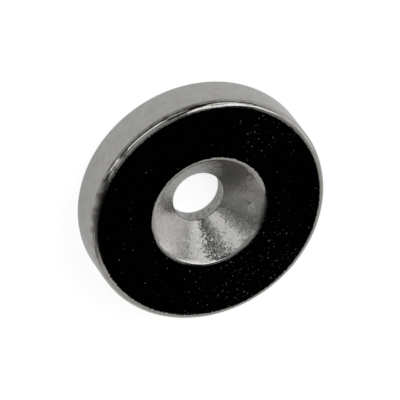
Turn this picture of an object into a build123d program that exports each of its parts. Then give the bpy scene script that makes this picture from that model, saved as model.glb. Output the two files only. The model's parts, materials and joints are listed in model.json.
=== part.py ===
"""Countersunk ring magnet.

One sintered disc magnet with a plain bore and a conical seat for the head of an M4 flat-head
screw. The disc is pressed and ground, its seat is ground in, its edges are tumbled round, and it
is plated all over afterwards, so it is a single solid with no cup and no insert.

Frame: the origin is the centre of the flat back face, and +Z is the ring's axis, out through
the countersunk face. Lengths are in millimetres and angles in degrees.
"""

import os

from build123d import *

# Disc
outer_diameter = 20.0
thickness = 4.0

# Hole for an M4 flat-head screw
bore_diameter = 4.3  # ISO 273 fine series
seat_diameter = 9.6  # where the cone's sharp corner with the face would be
seat_angle = 90.0  # included angle of the cone

# Tumbled edges
rim_rounding = 0.6  # both outer edges
seat_lip_rounding = 0.5  # between the face and the cone
seat_root_rounding = 0.15  # between the cone and the bore
bore_exit_rounding = 0.1  # between the bore and the back face

os.makedirs("parts", exist_ok=True)


with BuildPart() as ring_magnet:
    # The pressed blank, standing on its back face
    with BuildSketch(Plane.XY):
        Circle(outer_diameter / 2)
    extrude(amount=thickness)

    # The bore and its conical seat, entered from the front face
    with Locations((0, 0, thickness)):
        CounterSinkHole(
            radius=bore_diameter / 2,
            counter_sink_radius=seat_diameter / 2,
            counter_sink_angle=seat_angle,
        )

    # Every edge between two faces is a full circle about the axis. From the back face up they
    # are the bore's exit and the back rim, the seat's root, then the seat's lip and the front rim.
    circles = ring_magnet.edges().filter_by(GeomType.CIRCLE)
    back_edges, root_edges, front_edges = circles.group_by(Axis.Z)
    bore_exit, back_rim = back_edges.sort_by(SortBy.RADIUS)
    seat_lip, front_rim = front_edges.sort_by(SortBy.RADIUS)

    fillet([back_rim, front_rim], radius=rim_rounding)
    fillet(seat_lip, radius=seat_lip_rounding)
    fillet(root_edges, radius=seat_root_rounding)
    fillet(bore_exit, radius=bore_exit_rounding)

ring_magnet.part.label = "ring_magnet"
export_step(ring_magnet.part, "parts/ring_magnet.step")
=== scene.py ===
"""Looks of the countersunk ring magnet: its plated surface, the light table it lies on and the lamps."""
import json
import math

import bpy
import numpy as np
from mathutils import Matrix, Vector


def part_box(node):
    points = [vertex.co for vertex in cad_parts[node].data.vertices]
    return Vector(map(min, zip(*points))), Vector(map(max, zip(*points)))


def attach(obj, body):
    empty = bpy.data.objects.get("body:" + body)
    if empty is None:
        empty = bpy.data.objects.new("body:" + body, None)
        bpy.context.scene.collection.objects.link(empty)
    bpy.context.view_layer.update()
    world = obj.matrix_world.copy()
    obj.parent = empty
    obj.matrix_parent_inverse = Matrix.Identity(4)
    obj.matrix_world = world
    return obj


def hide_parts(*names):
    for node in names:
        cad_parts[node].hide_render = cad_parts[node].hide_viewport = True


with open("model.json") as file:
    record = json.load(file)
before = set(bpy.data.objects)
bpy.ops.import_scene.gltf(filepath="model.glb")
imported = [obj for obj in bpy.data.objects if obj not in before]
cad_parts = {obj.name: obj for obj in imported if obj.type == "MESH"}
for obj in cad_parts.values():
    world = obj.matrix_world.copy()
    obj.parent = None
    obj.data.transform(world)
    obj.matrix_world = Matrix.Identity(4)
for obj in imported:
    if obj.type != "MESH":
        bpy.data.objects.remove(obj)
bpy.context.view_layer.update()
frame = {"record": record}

MM = 0.001

# ---- The ring's sizes, in metres -------------------------------------------------------------

low_corner, high_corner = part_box("ring_magnet")
mounts = {mount["name"]: mount for mount in frame["record"]["mounts"]}
OUTER_RADIUS = (high_corner.x - low_corner.x) / 2
THICKNESS = high_corner.z - low_corner.z
BORE_RADIUS = mounts["screw_bore"]["dims"]["r_mm"] * MM
SEAT_RADIUS = 4.8 * MM  # where the cone's sharp corner with the front face would be
SEAT_HALF_ANGLE = math.radians(45)
RIM_ROUNDING = 0.6 * MM
LIP_ROUNDING = 0.5 * MM
ROOT_ROUNDING = 0.15 * MM
EXIT_ROUNDING = 0.1 * MM

STEPS_AROUND = 900
LATTICE_SIDE = 64  # random values along each side of a noise lattice, after which it repeats

# The ground seat keeps the grain of the sintered metal, and tumbling leaves the edges a little uneven.
SEAT_GRAIN_SIZE = 0.22 * MM
SEAT_GRAIN_HEIGHT = 0.003 * MM
COARSE_GRAIN_SHARE = 0.6  # the rest is grain of half the size
EDGE_DENT_SIZE = 1.0 * MM
EDGE_DENT_HEIGHT = 0.011 * MM
LARGE_DENT_SHARE = 0.75  # the rest is dents of a third of the size
NICK_PLACE = (-3.18 * MM, 2.28 * MM, 3.11 * MM)  # a small dent in the seat
NICK_SIZE = 0.2 * MM
NICK_DEPTH = 0.045 * MM

EDGE_FADE = math.radians(15)  # the lean over which something on an edge comes up to its full strength
FAR_FROM_EDGE = 1.0 * MM  # the face depth of a flat face, and below zero that of the side and seat
LIP_BAND = 0.04 * MM  # how much sooner the painted dark reflection of the face ends at the seat's lip than at the rim


# ---- Shape -----------------------------------------------------------------------------------


def unit(vector):
    """The vector at length 1."""
    return vector / np.linalg.norm(vector)


def rounded_section(corners, steps):
    """The closed half section: (radius, height) points, their outward normals and part numbers.

    Each corner is (radius, height, rounding), in order with the metal on the left. Its arc touches
    both of its sides: the centre lies on the corner's bisector, at rounding / sin(half the corner's
    angle), and the normal turns evenly from one side's normal to the other's. A straight run joins
    each arc to the next one. Corner k's arc is part 2k and the run after it is part 2k + 1, and
    steps[k] says in how many steps each of them is made.
    """
    places = [np.array(corner[:2]) for corner in corners]
    arcs = []
    for k, place in enumerate(places):
        back = unit(places[k - 1] - place)
        ahead = unit(places[(k + 1) % len(places)] - place)
        half_angle = math.acos(float(back @ ahead)) / 2
        centre = place + unit(back + ahead) * corners[k][2] / math.sin(half_angle)
        turn = math.pi - 2 * half_angle
        share = np.linspace(0, 1, steps[k][0] + 1)[:, None]
        first = np.array([-back[1], back[0]])
        last = np.array([ahead[1], -ahead[0]])
        normals = (np.sin((1 - share) * turn) * first + np.sin(share * turn) * last) / math.sin(turn)
        arcs.append((centre + corners[k][2] * normals, normals))
    points, normals, parts = [], [], []
    for k, (arc, arc_normals) in enumerate(arcs):
        goal = arcs[(k + 1) % len(arcs)][0][0]
        share = np.linspace(0, 1, steps[k][1] + 1)[1:-1, None]
        run = arc[-1] + share * (goal - arc[-1])
        points += [arc, run]
        normals += [arc_normals, np.repeat(arc_normals[-1:], len(run), axis=0)]
        parts += [np.full(len(arc), 2 * k), np.full(len(run), 2 * k + 1)]
    return np.concatenate(points), np.concatenate(normals), np.concatenate(parts)


def lattice_noise(points, cell, seed):
    """Smooth noise from -1 to 1 at each point.

    Random values sit on a cubic lattice of the given cell. A point takes the values of the eight
    corners round it, blended along each axis by the ease curve 3t^2 - 2t^3.
    """
    values = np.random.default_rng(seed).uniform(-1, 1, (LATTICE_SIDE,) * 3)
    scaled = points / cell
    base = np.floor(scaled).astype(int)
    t = scaled - base
    t = t * t * (3 - 2 * t)
    total = np.zeros(points.shape[:-1])
    for corner in np.ndindex(2, 2, 2):
        share = np.prod(np.where(corner, t, 1 - t), axis=-1)
        i, j, k = np.moveaxis((base + corner) % LATTICE_SIDE, -1, 0)
        total += share * values[i, j, k]
    return total


# Part numbers of the half section.
EXIT, BACK_FACE, BACK_RIM, SIDE, FRONT_RIM, FRONT_FACE, SEAT_LIP, SEAT, SEAT_ROOT, BORE = range(10)


def ring_surface():
    """The whole skin of the ring: the rounded half section swept once round the axis.

    The point at radius r, height z and turn t is (r sin t, r cos t, z). It is moved along its
    normal by the relief: the grain on the seat, the dents on the front rim and the seat's lip, and
    the nick, whose depth falls off with the distance d from its middle as exp(-(d / size)^2).

    Four values go with each point of the half section. "face_depth" is minus the length of arc
    from the flat face to a point of an edge, plus a lot on the flat faces and minus a lot beyond
    the edges. "seat", "bore" and "rim" are 1 where that part's finish is and 0 elsewhere, with an
    even slope near the end of the lip and both ends of the rim.
    """
    seat_depth = (SEAT_RADIUS - BORE_RADIUS) / math.tan(SEAT_HALF_ANGLE)
    corners = [
        (BORE_RADIUS, 0.0, EXIT_ROUNDING),
        (OUTER_RADIUS, 0.0, RIM_ROUNDING),
        (OUTER_RADIUS, THICKNESS, RIM_ROUNDING),
        (SEAT_RADIUS, THICKNESS, LIP_ROUNDING),
        (BORE_RADIUS, THICKNESS - seat_depth, ROOT_ROUNDING),
    ]
    steps = [(4, 4), (8, 6), (14, 6), (10, 46), (4, 4)]  # on each corner's arc and the run after it
    line, line_normals, parts = rounded_section(corners, steps)
    turn = np.linspace(0, 2 * math.pi, STEPS_AROUND, endpoint=False)
    sweep = np.stack([np.sin(turn), np.cos(turn), np.ones(STEPS_AROUND)], axis=-1)
    place = line[:, None, [0, 0, 1]] * sweep
    normal = line_normals[:, None, [0, 0, 1]] * sweep

    lean = np.arccos(np.clip(np.abs(line_normals[:, 1]), 0, 1))  # 0 on the flat faces
    flat = np.isin(parts, [FRONT_FACE, BACK_FACE])
    edges = np.isin(parts, [EXIT, BACK_RIM, FRONT_RIM, SEAT_LIP])
    rounding = np.array([corner[2] for corner in corners])[parts // 2]
    face_depth = np.where(edges, -rounding * lean, np.where(flat, FAR_FROM_EDGE, -FAR_FROM_EDGE))
    face_depth = np.where(parts == SEAT_LIP, face_depth - LIP_BAND, face_depth)
    dented = np.isin(parts, [FRONT_RIM, SEAT_LIP])
    on_edge = np.where(dented, np.clip(lean / EDGE_FADE, 0, 1), 0.0)
    on_seat = np.where(np.isin(parts, [SEAT, SEAT_ROOT, BORE]), 1.0, 0.0)
    lip_end = np.clip(lean / EDGE_FADE - 2, 0, 1)  # the last third of the lip's 45 degrees
    on_seat = np.where(parts == SEAT_LIP, lip_end, on_seat)
    in_bore = np.where(np.isin(parts, [SEAT_ROOT, BORE]), 1.0, 0.0)
    from_ends = np.minimum(lean, math.pi / 2 - lean)
    on_rim = np.where(parts == FRONT_RIM, np.clip(from_ends / EDGE_FADE, 0, 1), 0.0)
    shares = {"face_depth": face_depth, "seat": on_seat, "bore": in_bore, "rim": on_rim}

    coarse_grain = lattice_noise(place, SEAT_GRAIN_SIZE, seed=1)
    fine_grain = lattice_noise(place, SEAT_GRAIN_SIZE / 2, seed=2)
    grain = COARSE_GRAIN_SHARE * coarse_grain + (1 - COARSE_GRAIN_SHARE) * fine_grain
    large_dents = lattice_noise(place, EDGE_DENT_SIZE, seed=3)
    small_dents = lattice_noise(place, EDGE_DENT_SIZE / 3, seed=4)
    dents = LARGE_DENT_SHARE * large_dents + (1 - LARGE_DENT_SHARE) * small_dents
    from_nick = np.linalg.norm(place - NICK_PLACE, axis=-1) / NICK_SIZE
    relief = on_seat[:, None] * SEAT_GRAIN_HEIGHT * grain
    relief += on_edge[:, None] * EDGE_DENT_HEIGHT * (dents - 1)
    relief -= NICK_DEPTH * np.exp(-(from_nick ** 2))
    return place + normal * relief[..., None], shares


def plated_ring():
    """A grid of quads over the skin, closed along the section and round the axis."""
    place, shares = ring_surface()
    rows, columns = place.shape[:2]
    index = np.arange(rows * columns).reshape(rows, columns)
    next_row = np.roll(index, -1, axis=0)
    corners = [index, np.roll(index, -1, axis=1), np.roll(next_row, -1, axis=1), next_row]
    quads = np.stack(corners, axis=-1).reshape(-1, 4)
    mesh = bpy.data.meshes.new("plated_ring")
    mesh.from_pydata(place.reshape(-1, 3), [], quads.tolist())
    mesh.polygons.foreach_set("use_smooth", np.ones(len(quads), dtype=bool))
    for name, share in shares.items():
        attribute = mesh.attributes.new(name, "FLOAT", "POINT")
        attribute.data.foreach_set("value", np.repeat(share, columns).astype(np.float32))
    mesh.materials.append(nickel_plating())
    ring = bpy.data.objects.new("plated_ring", mesh)
    bpy.context.scene.collection.objects.link(ring)
    return ring


# ---- Finish ----------------------------------------------------------------------------------


class Nodes:
    """Short names for building a node tree."""

    def __init__(self, tree):
        self.tree = tree

    def add(self, kind, **settings):
        """A new node of that kind, with its settings."""
        node = self.tree.nodes.new("ShaderNode" + kind)
        for name, value in settings.items():
            setattr(node, name, value)
        return node

    def put(self, socket, value):
        """Links an output to the socket, or sets the socket's own value."""
        if isinstance(value, bpy.types.NodeSocket):
            self.tree.links.new(value, socket)
        else:
            socket.default_value = value

    def math(self, operation, *values):
        """The result of a Math node; each value is a number or an output."""
        node = self.add("Math", operation=operation)
        for socket, value in zip(node.inputs, values):
            self.put(socket, value)
        return node.outputs["Value"]

    def share(self, value, start, end):
        """0 at start and before it, 1 at end and past it, an ease between; end may be the smaller."""
        node = self.add("MapRange", interpolation_type="SMOOTHSTEP")
        self.put(node.inputs["Value"], value)
        self.put(node.inputs["From Min"], start)
        self.put(node.inputs["From Max"], end)
        return node.outputs["Result"]

    def mix(self, share, a, b):
        """a where the share is 0, b where it is 1."""
        node = self.add("Mix")
        self.put(node.inputs["Factor"], share)
        self.put(node.inputs["A"], a)
        self.put(node.inputs["B"], b)
        return node.outputs["Result"]

    def mix_colour(self, share, a, b):
        """As mix. A Mix node's colours are its inputs 6 and 7 and its output 2."""
        node = self.add("Mix", data_type="RGBA")
        self.put(node.inputs["Factor"], share)
        self.put(node.inputs[6], a)
        self.put(node.inputs[7], b)
        return node.outputs[2]

    def noise(self, size, detail, place):
        """Smooth noise from 0 to 1, with waves of that size and finer ones over them."""
        node = self.add("TexNoise")
        self.put(node.inputs["Vector"], place)
        self.put(node.inputs["Scale"], 1 / size)
        self.put(node.inputs["Detail"], detail)
        return node.outputs["Fac"]

    def patches(self, place, size, detail, start, end):
        """Soft-edged patches: noise of that size, 0 where it is below start and 1 above end."""
        return self.share(self.noise(size, detail, place), start, end)

    def attribute(self, name):
        """The value of that name that the mesh carries."""
        return self.add("Attribute", attribute_name=name).outputs["Fac"]


MIDDLE = 0.5  # of the range of a noise, or of a random colour
AREA_CORE = 0.3  # the share of an area's reach inside which it is at full strength


def nearness(nodes, place, centre, reach):
    """1 close to the centre, easing to 0 at the reach; both are given in mm."""
    gap = nodes.add("VectorMath", operation="DISTANCE")
    nodes.put(gap.inputs[0], place)
    gap.inputs[1].default_value = [length * MM for length in centre]
    return nodes.share(gap.outputs["Value"], reach * MM, AREA_CORE * reach * MM)


# Each colour of the plating, and under it what says where it lies. Patches and blotches are the
# size, detail, start and end that Nodes.patches takes, and a noise is the size and detail that
# Nodes.noise takes. Areas are the centre and reach that nearness takes, in mm.
NICKEL = (0.62, 0.615, 0.60, 1)
DULL_NICKEL = (0.57, 0.56, 0.54, 1)
DULL_PATCHES = (0.7 * MM, 3, 0.35, 0.70)
BORE_STAIN = (0.40, 0.39, 0.37, 1)
BORE_BLOTCHES = (0.3 * MM, 2, 0.42, 0.62)
# painted shade: dark blotches that dim the rim's highlights on one side
RIM_PAINTED_SHADE = (0.34, 0.315, 0.28, 1)
RIM_SHADE_BLOTCHES = (0.9 * MM, 3, 0.47, 0.60)
SHADED_RIM_AREA = ((1.5, -9.5, 4.0), 14.0)  # the side of the rim where blotches of shade are painted
PAINTED_HIGHLIGHT_COLOUR = (0.95, 0.94, 0.91, 1)
PAINTED_HIGHLIGHT_AREA = ((-3.02, 2.66, 3.22), 0.7)  # a highlight painted beside the nick in the seat
# a painted reflection of a dark room: the flat faces' colour in place of the nickel's own
PAINTED_DARK_REFLECTION = (0.02, 0.02, 0.02, 1)
PAINTED_DARK_FROM = -0.11 * MM  # the face depth at which the painted dark reflection on a flat face begins
PAINTED_DARK_FULLY = -0.07 * MM
RAGGED_NOISE = (0.22 * MM, 2)
RAGGED_WIDTH = 0.32 * MM  # the whole width over which the noise moves that depth
SPECK = (0.55, 0.55, 0.54, 1)
DUSTY_AREAS = [((-1.0, 7.2, 4.0), 6.0), ((2.5, 6.5, 4.0), 4.5), ((-7.5, -3.0, 4.0), 3.2)]
COARSE_DUST = {"spacing": 0.45 * MM, "few": 0.06, "many": 0.5}
FINE_DUST = {"spacing": 0.28 * MM, "few": 0.04, "many": 0.4}
SMALLEST_SPECK = 0.08  # its radius, as a share of the spacing
LARGEST_SPECK = 0.24

# Roughness: the lowest and the highest where it varies.
SATIN_ROUGHNESS = (0.17, 0.25)
SATIN_NOISE = (0.5 * MM, 2)
BRIGHT_ROUGHNESS = (0.05, 0.13)
BRIGHT_PATCHES = (0.35 * MM, 2, 0.35, 0.65)
MIRROR_ROUGHNESS = 0.06
SPECK_ROUGHNESS = 0.5
SPECK_ROUGH_AT = 0.15  # how much of a speck there has to be for its full roughness


def specks(nodes, place, spacing, few, many):
    """How much of a tiny bright speck there is.

    A share "few" of the cells holds one, and a share "many" in the dusty areas. Their radius is
    evenly spread, and their brightness is the square of an evenly spread number, so most of them
    are faint.
    """
    cells = nodes.add("TexVoronoi", voronoi_dimensions="2D")
    nodes.put(cells.inputs["Vector"], place)
    nodes.put(cells.inputs["Scale"], 1 / spacing)
    chance = nodes.add("SeparateColor")
    nodes.put(chance.inputs["Color"], cells.outputs["Color"])
    dust = 0.0
    for centre, reach in DUSTY_AREAS:
        dust = nodes.math("MAXIMUM", dust, nearness(nodes, place, centre, reach))
    kept = nodes.math("LESS_THAN", chance.outputs["Red"], nodes.mix(dust, few, many))
    radius = nodes.mix(chance.outputs["Green"], SMALLEST_SPECK, LARGEST_SPECK)
    spot = nodes.math("SUBTRACT", 1.0, nodes.share(cells.outputs["Distance"], 0.0, radius))
    light = nodes.math("POWER", chance.outputs["Blue"], 2.0)
    return nodes.math("MULTIPLY", nodes.math("MULTIPLY", kept, spot), light)


CRYSTAL_SIZE = 0.12 * MM
CRYSTAL_LEAN = 0.42
COARSE_AREA = ((1.35, 3.65, 3.1), 2.0)  # where the seat's crystals lean most
LEAN_ELSEWHERE = 0.42  # as a share of the lean in that area


def crystal_normal(nodes, place, seat):
    """The normal of the sintered grain.

    Each tiny crystal of the seat leans its own way, by a random vector times its own length, so few
    of them lean far. The vector is the crystal's random colour less the middle of its range.
    """
    crystals = nodes.add("TexVoronoi")
    nodes.put(crystals.inputs["Vector"], place)
    nodes.put(crystals.inputs["Scale"], 1 / CRYSTAL_SIZE)
    lean = nodes.add("VectorMath", operation="SUBTRACT")
    nodes.put(lean.inputs[0], crystals.outputs["Color"])
    lean.inputs[1].default_value = (MIDDLE, MIDDLE, MIDDLE)
    length = nodes.add("VectorMath", operation="LENGTH")
    nodes.put(length.inputs[0], lean.outputs["Vector"])
    strength = nodes.math("MULTIPLY", length.outputs["Value"], CRYSTAL_LEAN)
    coarse = nodes.mix(nearness(nodes, place, *COARSE_AREA), LEAN_ELSEWHERE, 1.0)
    strength = nodes.math("MULTIPLY", strength, nodes.math("MULTIPLY", coarse, seat))
    scaled = nodes.add("VectorMath", operation="SCALE")
    nodes.put(scaled.inputs[0], lean.outputs["Vector"])
    nodes.put(scaled.inputs["Scale"], strength)
    leant = nodes.add("VectorMath", operation="ADD")
    nodes.put(leant.inputs[0], nodes.add("NewGeometry").outputs["Normal"])
    nodes.put(leant.inputs[1], scaled.outputs["Vector"])
    normal = nodes.add("VectorMath", operation="NORMALIZE")
    nodes.put(normal.inputs[0], leant.outputs["Vector"])
    return normal.outputs["Vector"]


def plating_colour(nodes, place, face, speck):
    """The plating's colour, with a dark reflection painted on the flat faces and their specks pale.

    The nickel has dull patches and blotches in the bore. Blotches of shade are painted on one side of
    the rim, and a highlight is painted in the seat beside the nick.
    """
    colour = nodes.mix_colour(nodes.patches(place, *DULL_PATCHES), NICKEL, DULL_NICKEL)
    blotch = nodes.patches(place, *BORE_BLOTCHES)
    in_bore = nodes.math("MULTIPLY", blotch, nodes.attribute("bore"))
    colour = nodes.mix_colour(in_bore, colour, BORE_STAIN)
    # Blotches of shade painted on one side of the rim, dimming its highlights into dashes.
    painted_shade_side = nodes.math("MULTIPLY", nearness(nodes, place, *SHADED_RIM_AREA), nodes.attribute("rim"))
    rim_shade = nodes.math("MULTIPLY", nodes.patches(place, *RIM_SHADE_BLOTCHES), painted_shade_side)
    colour = nodes.mix_colour(rim_shade, colour, RIM_PAINTED_SHADE)
    # A highlight painted beside the nick, brighter than the nickel, where the bore has no blotch.
    unblotched = nodes.math("SUBTRACT", 1.0, blotch)
    painted_highlight = nodes.math("MULTIPLY", nearness(nodes, place, *PAINTED_HIGHLIGHT_AREA), unblotched)
    colour = nodes.mix_colour(painted_highlight, colour, PAINTED_HIGHLIGHT_COLOUR)
    # the flat faces get a painted dark reflection, not the nickel's own colour
    colour = nodes.mix_colour(face, colour, PAINTED_DARK_REFLECTION)
    return nodes.mix_colour(speck, colour, SPECK)


def plating_roughness(nodes, place, seat, face, speck):
    """Bright edges and sides, a satin seat, mirror-smooth flat faces and rough specks."""
    satin = nodes.mix(nodes.noise(*SATIN_NOISE, place), *SATIN_ROUGHNESS)
    bright = nodes.mix(nodes.patches(place, *BRIGHT_PATCHES), *BRIGHT_ROUGHNESS)
    roughness = nodes.mix(face, nodes.mix(seat, bright, satin), MIRROR_ROUGHNESS)
    return nodes.mix(nodes.share(speck, 0.0, SPECK_ROUGH_AT), roughness, SPECK_ROUGHNESS)


def nickel_plating():
    """Bright nickel: mirror-smooth on the flat faces, with a dark reflection painted on them as their
    colour, satin and granular on the seat.

    A ragged line a little way down each edge parts the painted dark reflection of the face from the
    bright metal.
    """
    material = bpy.data.materials.new("nickel_plating")
    material.use_nodes = True
    nodes = Nodes(material.node_tree)
    shader = material.node_tree.nodes["Principled BSDF"]
    shader.inputs["Metallic"].default_value = 1.0
    place = nodes.add("TexCoord").outputs["Object"]
    seat = nodes.attribute("seat")

    # The flat faces' share, with a ragged edge: it paints the dark reflection on them, makes them
    # mirror-smooth and holds the specks.
    ragged = nodes.math("SUBTRACT", nodes.noise(*RAGGED_NOISE, place), MIDDLE)
    moved = nodes.math("MULTIPLY", ragged, RAGGED_WIDTH)
    depth = nodes.math("ADD", nodes.attribute("face_depth"), moved)
    face = nodes.share(depth, PAINTED_DARK_FROM, PAINTED_DARK_FULLY)
    coarse_dust = specks(nodes, place, **COARSE_DUST)
    fine_dust = specks(nodes, place, **FINE_DUST)
    speck = nodes.math("MULTIPLY", face, nodes.math("MAXIMUM", coarse_dust, fine_dust))

    nodes.put(shader.inputs["Base Color"], plating_colour(nodes, place, face, speck))
    nodes.put(shader.inputs["Roughness"], plating_roughness(nodes, place, seat, face, speck))
    nodes.put(shader.inputs["Normal"], crystal_normal(nodes, place, seat))
    return material


# ---- Stage -----------------------------------------------------------------------------------

CAMERA_ELEVATION = math.radians(54.1)
CAMERA_ROLL = math.radians(54.1)  # how far below the picture's x axis the ring's +Z points
LENS = 540.0  # focal length and width of the sensor, in millimetres as Blender asks
SENSOR = 36.0
PICTURE = 400  # the picture's side, and where the ring lies in it, in pixels from the top left
RADIUS_IN_PICTURE = 124.5
FACE_CENTRE_IN_PICTURE = (209.1, 211.8)


def camera():
    """A long lens that looks down on the face from the -Y side, rolled about its own axis."""
    back = Vector((0, -math.cos(CAMERA_ELEVATION), math.sin(CAMERA_ELEVATION)))
    up = Vector((0, math.sin(CAMERA_ELEVATION), math.cos(CAMERA_ELEVATION)))
    right = Vector((1, 0, 0))
    x_axis = math.cos(CAMERA_ROLL) * up - math.sin(CAMERA_ROLL) * right
    y_axis = -math.sin(CAMERA_ROLL) * up - math.cos(CAMERA_ROLL) * right
    pixel = OUTER_RADIUS / RADIUS_IN_PICTURE
    across = FACE_CENTRE_IN_PICTURE[0] - (PICTURE - 1) / 2
    down = FACE_CENTRE_IN_PICTURE[1] - (PICTURE - 1) / 2
    aim = Vector((0, 0, THICKNESS)) - pixel * (across * x_axis - down * y_axis)
    distance = LENS / SENSOR * PICTURE * pixel
    data = bpy.data.cameras.new("camera")
    data.lens = LENS
    data.sensor_width = SENSOR
    data.clip_start = 0.01
    data.clip_end = 5.0
    shot = bpy.data.objects.new("camera", data)
    turn = Matrix((x_axis, y_axis, back)).transposed().to_4x4()
    shot.matrix_world = Matrix.Translation(aim + distance * back) @ turn
    bpy.context.scene.collection.objects.link(shot)
    bpy.context.scene.camera = shot


TABLE_RADIUS = 1.1
TABLE_SIDES = 96
TABLE_GAP = 0.02 * MM
TABLE_WHITE = 0.8
CAMERA_GLOW = 0.79
# The glow that the metal sees, by the distance from the ring's axis.
BORE_GLOW = 0.25
BORE_GLOW_TO = 3 * MM
RIM_GLOW = 0.28
RIM_GLOW_FROM = 9 * MM
RIM_GLOW_TO = 12.5 * MM
FAR_GLOW = 0.3  # on the far side; straight towards the camera there is none
FAR_GLOW_FROM = 15 * MM


def light_table():
    """A white sheet lit from below.

    It glows evenly for the camera. For the metal it is dimmer: from a little way outside the ring
    it is even on the far half, and fades to nothing straight towards the camera, where the dark of
    the room is.
    """
    angle = np.linspace(0, 2 * math.pi, TABLE_SIDES, endpoint=False)
    rim = TABLE_RADIUS * np.stack([np.cos(angle), np.sin(angle), 0 * angle], axis=-1)
    mesh = bpy.data.meshes.new("light_table")
    mesh.from_pydata(rim, [], [list(range(len(rim)))])
    table = bpy.data.objects.new("light_table", mesh)
    table.location.z = -TABLE_GAP
    bpy.context.scene.collection.objects.link(table)
    material = bpy.data.materials.new("white_acrylic")
    material.use_nodes = True
    material.node_tree.nodes.clear()
    nodes = Nodes(material.node_tree)
    place = nodes.add("TexCoord").outputs["Object"]
    across = nodes.add("SeparateXYZ")
    nodes.put(across.inputs[0], place)
    length = nodes.add("VectorMath", operation="LENGTH")
    nodes.put(length.inputs[0], place)
    minus_length = nodes.math("MULTIPLY", length.outputs["Value"], -1.0)
    toward_camera = nodes.math("DIVIDE", across.outputs["Y"], minus_length)
    away = nodes.share(length.outputs["Value"], RIM_GLOW_TO, FAR_GLOW_FROM)
    outer = nodes.mix(nodes.share(toward_camera, 0.0, 1.0), FAR_GLOW, 0.0)
    outside_bore = nodes.share(length.outputs["Value"], BORE_GLOW_TO, RIM_GLOW_FROM)
    near = nodes.mix(outside_bore, BORE_GLOW, RIM_GLOW)
    in_metal = nodes.mix(away, near, outer)
    path = nodes.add("LightPath")
    metal_glow = nodes.math("MULTIPLY", path.outputs["Is Glossy Ray"], in_metal)
    camera_glow = nodes.math("MULTIPLY", path.outputs["Is Camera Ray"], CAMERA_GLOW)
    glow = nodes.math("ADD", metal_glow, camera_glow)
    lit = nodes.add("Emission")
    nodes.put(lit.inputs["Strength"], glow)
    sheet = nodes.add("BsdfDiffuse")
    sheet.inputs["Color"].default_value = (TABLE_WHITE, TABLE_WHITE, TABLE_WHITE, 1)
    both = nodes.add("AddShader")
    nodes.put(both.inputs[0], lit.outputs[0])
    nodes.put(both.inputs[1], sheet.outputs[0])
    out = nodes.add("OutputMaterial")
    nodes.put(out.inputs["Surface"], both.outputs[0])
    mesh.materials.append(material)


LAMP_DISTANCE = 0.6


def softbox(name, azimuth, elevation, width, height, radiance):
    """A soft lamp that faces the ring, with the radiance that a reflection of it shows.

    All angles are in degrees as the ring sees them, azimuth from +Y towards +X; the camera stands
    at azimuth 180.
    """
    a, e = math.radians(azimuth), math.radians(elevation)
    out = Vector((math.sin(a) * math.cos(e), math.cos(a) * math.cos(e), math.sin(e)))
    data = bpy.data.lights.new(name, "AREA")
    data.shape = "RECTANGLE"
    data.size = 2 * LAMP_DISTANCE * math.tan(math.radians(width) / 2)
    data.size_y = 2 * LAMP_DISTANCE * math.tan(math.radians(height) / 2)
    data.energy = radiance * math.pi * data.size * data.size_y
    lamp = bpy.data.objects.new(name, data)
    lamp.location = out * LAMP_DISTANCE
    lamp.rotation_mode = "QUATERNION"
    lamp.rotation_quaternion = out.to_track_quat("Z", "Y")
    lamp.visible_camera = False
    bpy.context.scene.collection.objects.link(lamp)


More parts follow.
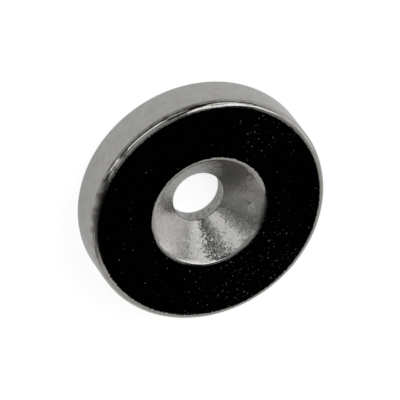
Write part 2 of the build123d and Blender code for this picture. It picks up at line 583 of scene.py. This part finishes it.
def lamps():
    """The studio's soft lamps, whose reflections are the light areas in the metal."""
    # the tall bank on the left, which bends over at the top
    softbox("left_bank_top", -110, 65, 24, 14, 0.95)
    softbox("left_bank_shoulder", -128, 50, 10, 16, 1.3)
    softbox("left_bank_middle", -101, 46, 19, 26, 1.28)
    softbox("left_bank_inner", -84, 33, 14, 18, 1.1)
    softbox("left_bank_inner_low", -70, 27, 12, 14, 0.35)
    softbox("left_bank_low", -108, 25, 22, 18, 0.75)
    softbox("left_bank_low_end", -124, 30, 10, 24, 0.9)
    softbox("left_bank_foot", -86, 15, 16, 10, 0.55)
    softbox("left_floor_strip", -64, 8, 30, 12, 0.62)
    # the camera's side
    softbox("camera_box", 175, 33, 30, 24, 0.85)
    softbox("camera_box_top", 178, 52, 22, 16, 0.16)
    softbox("camera_left_panel", -156, 26, 18, 24, 0.37)
    softbox("camera_right_panel", 150, 35, 12, 20, 0.22)
    softbox("right_strip", 143, 12, 10, 26, 1.3)
    softbox("right_strip_top", 136, 46, 12, 24, 0.42)
    softbox("right_panel", 104, 17, 48, 30, 0.22)
    softbox("right_high_panel", 96, 46, 44, 24, 0.07)
    # the far side, above the wall
    softbox("far_left_high_panel", -60, 45, 44, 24, 0.2)
    softbox("far_right_high_panel", 36, 42, 44, 16, 0.42)
    # the ceiling
    softbox("ceiling_panel", 0, 90, 30, 30, 0.15)
    softbox("ceiling_left_strip", -160, 72, 50, 14, 0.2)
    softbox("ceiling_right_strip", 150, 68, 40, 16, 0.2)


ROOM_DIM = 0.02
FAR_WALL = 0.42
WALL_BRIGHT_TO = 0.45  # sine of the elevation up to which the lit wall is even
WALL_TOP = 0.68  # sine of the elevation at which it has faded out
WALL_SIDES = -0.1  # the direction's Y at which the lit wall begins
WALL_FULL = 0.6  # and from which it is at full strength
WARM = (1.0, 0.96, 0.91, 1)
WHITE = (1, 1, 1, 1)


def room():
    """A dim room for the metal, with a wall lit from below on the far side, and white for the camera."""
    world = bpy.data.worlds.new("room")
    bpy.context.scene.world = world
    world.use_nodes = True
    nodes = Nodes(world.node_tree)
    direction = nodes.add("SeparateXYZ")
    nodes.put(direction.inputs[0], nodes.add("TexCoord").outputs["Generated"])
    low = nodes.share(direction.outputs["Z"], WALL_TOP, WALL_BRIGHT_TO)
    far = nodes.share(direction.outputs["Y"], WALL_SIDES, WALL_FULL)
    wall = nodes.math("MULTIPLY", nodes.math("MULTIPLY", low, far), FAR_WALL)
    path = nodes.add("LightPath")
    seen = path.outputs["Is Camera Ray"]
    background = world.node_tree.nodes["Background"]
    nodes.put(background.inputs["Color"], nodes.mix_colour(seen, WARM, WHITE))
    strength = nodes.math("ADD", wall, ROOM_DIM)
    nodes.put(background.inputs["Strength"], nodes.mix(seen, strength, 1.0))
    bpy.context.scene.view_settings.view_transform = "Standard"


ring = plated_ring()
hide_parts("ring_magnet")
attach(ring, "root")
camera()
light_table()
lamps()
room()
